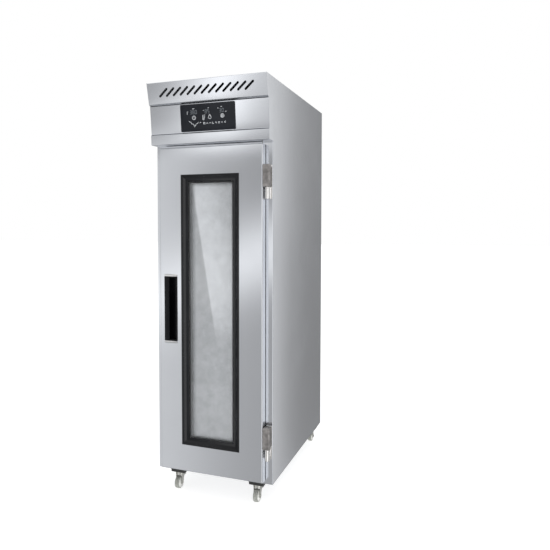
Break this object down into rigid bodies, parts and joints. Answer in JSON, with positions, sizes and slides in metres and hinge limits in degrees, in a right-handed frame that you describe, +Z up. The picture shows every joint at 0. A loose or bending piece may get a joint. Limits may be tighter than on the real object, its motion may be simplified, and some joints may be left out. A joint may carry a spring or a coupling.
{
  "type": "proofing cabinet",
  "caption": "Tall insulated stainless proofing cabinet on casters, with a glazed hinged door, tray runners, fan, heaters, water pan, and a leaning header with controls and air slots.",
  "frame": {"origin": "on the floor, at the middle of the bounding box", "axes": "+X to the right seen from the front, +Y from the front to the back, +Z up"},
  "size_m": [0.5, 0.858, 1.658],
  "materials": {
    "outer_steel": "satin",
    "inner_steel": "satin",
    "bezel_black": "satin",
    "handle_black": "satin",
    "bright_trim": "polished",
    "clear_glass": "gloss",
    "spacer_metal": "matte",
    "seal_rubber": "matte",
    "hinge_metal": "satin",
    "caster_steel": "satin",
    "dark_steel": "satin",
    "white_nylon": "satin",
    "foam": "matte",
    "grey_plastic": "matte",
    "control_black": "gloss",
    "board_green": "satin",
    "motor_grey": "satin",
    "heater_steel": "satin",
    "brass_fitting": "satin",
    "lamp_white": "gloss",
    "gland_black": "matte"
  },
  "bodies": {
    "cabinet": {"left_side_panel": "outer_steel", "right_side_panel": "outer_steel", "top_panel": "outer_steel", "louvre_fascia": "outer_steel", "control_fascia": "outer_steel", "lower_fascia": "outer_steel", "header_floor": "inner_steel", "header_back_cover": "outer_steel", "back_panel": "outer_steel", "base_panel": "outer_steel", "caster_channels": "dark_steel", "breaker_strips": "grey_plastic", "side_liners": "inner_steel", "back_liner": "inner_steel", "ceiling_liner": "inner_steel", "floor_liner": "inner_steel", "insulation_boards": "foam", "rack_uprights": "inner_steel", "tray_runners": "inner_steel", "duct_panel": "inner_steel", "fan_motor": "motor_grey", "fan_guard": "bright_trim", "heating_elements": "heater_steel", "water_pan": "inner_steel", "water_inlet": "brass_fitting", "drain_tube": "inner_steel", "lamp_housing": "lamp_white", "lamp_lens": "lamp_white", "climate_probe": "inner_steel", "control_glass": "control_black", "control_housing": "grey_plastic", "control_board": "board_green", "power_unit": "grey_plastic", "cable_gland": "gland_black", "cover_screws": "bright_trim", "hinge_frame_leaves": "hinge_metal", "caster_plates": "dark_steel", "caster_bolts": "caster_steel"},
    "door": {"door_skin": "outer_steel", "door_liner": "inner_steel", "door_foam": "foam", "window_bezel": "bezel_black", "window_inner_frame": "bezel_black", "outer_glass": "clear_glass", "inner_glass": "clear_glass", "glass_spacer": "spacer_metal", "handle_cup": "handle_black", "handle_grip": "handle_black", "handle_end_caps": "bright_trim", "door_gasket": "seal_rubber", "hinge_door_leaves": "hinge_metal"},
    "fan": {"fan_rotor": "inner_steel"},
    "front_left_swivel": {"front_left_fork": "caster_steel"},
    "front_left_roller": {"front_left_wheel": "white_nylon"},
    "front_right_swivel": {"front_right_fork": "caster_steel"},
    "front_right_roller": {"front_right_wheel": "white_nylon"},
    "rear_left_swivel": {"rear_left_fork": "caster_steel"},
    "rear_left_roller": {"rear_left_wheel": "white_nylon"},
    "rear_right_swivel": {"rear_right_fork": "caster_steel"},
    "rear_right_roller": {"rear_right_wheel": "white_nylon"}
  },
  "joints": [
    {"name": "door_hinge", "type": "hinge", "parent": "cabinet", "child": "door", "pos_m": [0.236, -0.374, 0.76], "axis": [0, 0, 1], "range_deg": [0, 120]},
    {"name": "fan_spin", "type": "hinge", "parent": "cabinet", "child": "fan", "pos_m": [0, 0.32, 1.185], "axis": [0, 1, 0], "continuous": true},
    {"name": "front_left_swivel", "type": "hinge", "parent": "cabinet", "child": "front_left_swivel", "pos_m": [-0.174, -0.3, 0.067], "axis": [0, 0, 1], "continuous": true},
    {"name": "front_left_roll", "type": "hinge", "parent": "front_left_swivel", "child": "front_left_roller", "pos_m": [-0.174, -0.318, 0.025], "axis": [1, 0, 0], "continuous": true},
    {"name": "front_right_swivel", "type": "hinge", "parent": "cabinet", "child": "front_right_swivel", "pos_m": [0.174, -0.3, 0.067], "axis": [0, 0, 1], "continuous": true},
    {"name": "front_right_roll", "type": "hinge", "parent": "front_right_swivel", "child": "front_right_roller", "pos_m": [0.174, -0.318, 0.025], "axis": [1, 0, 0], "continuous": true},
    {"name": "rear_left_swivel", "type": "hinge", "parent": "cabinet", "child": "rear_left_swivel", "pos_m": [-0.205, 0.373, 0.067], "axis": [0, 0, 1], "continuous": true},
    {"name": "rear_left_roll", "type": "hinge", "parent": "rear_left_swivel", "child": "rear_left_roller", "pos_m": [-0.205, 0.391, 0.025], "axis": [1, 0, 0], "continuous": true},
    {"name": "rear_right_swivel", "type": "hinge", "parent": "cabinet", "child": "rear_right_swivel", "pos_m": [0.205, 0.373, 0.067], "axis": [0, 0, 1], "continuous": true},
    {"name": "rear_right_roll", "type": "hinge", "parent": "rear_right_swivel", "child": "rear_right_roller", "pos_m": [0.205, 0.391, 0.025], "axis": [1, 0, 0], "continuous": true}
  ]
}
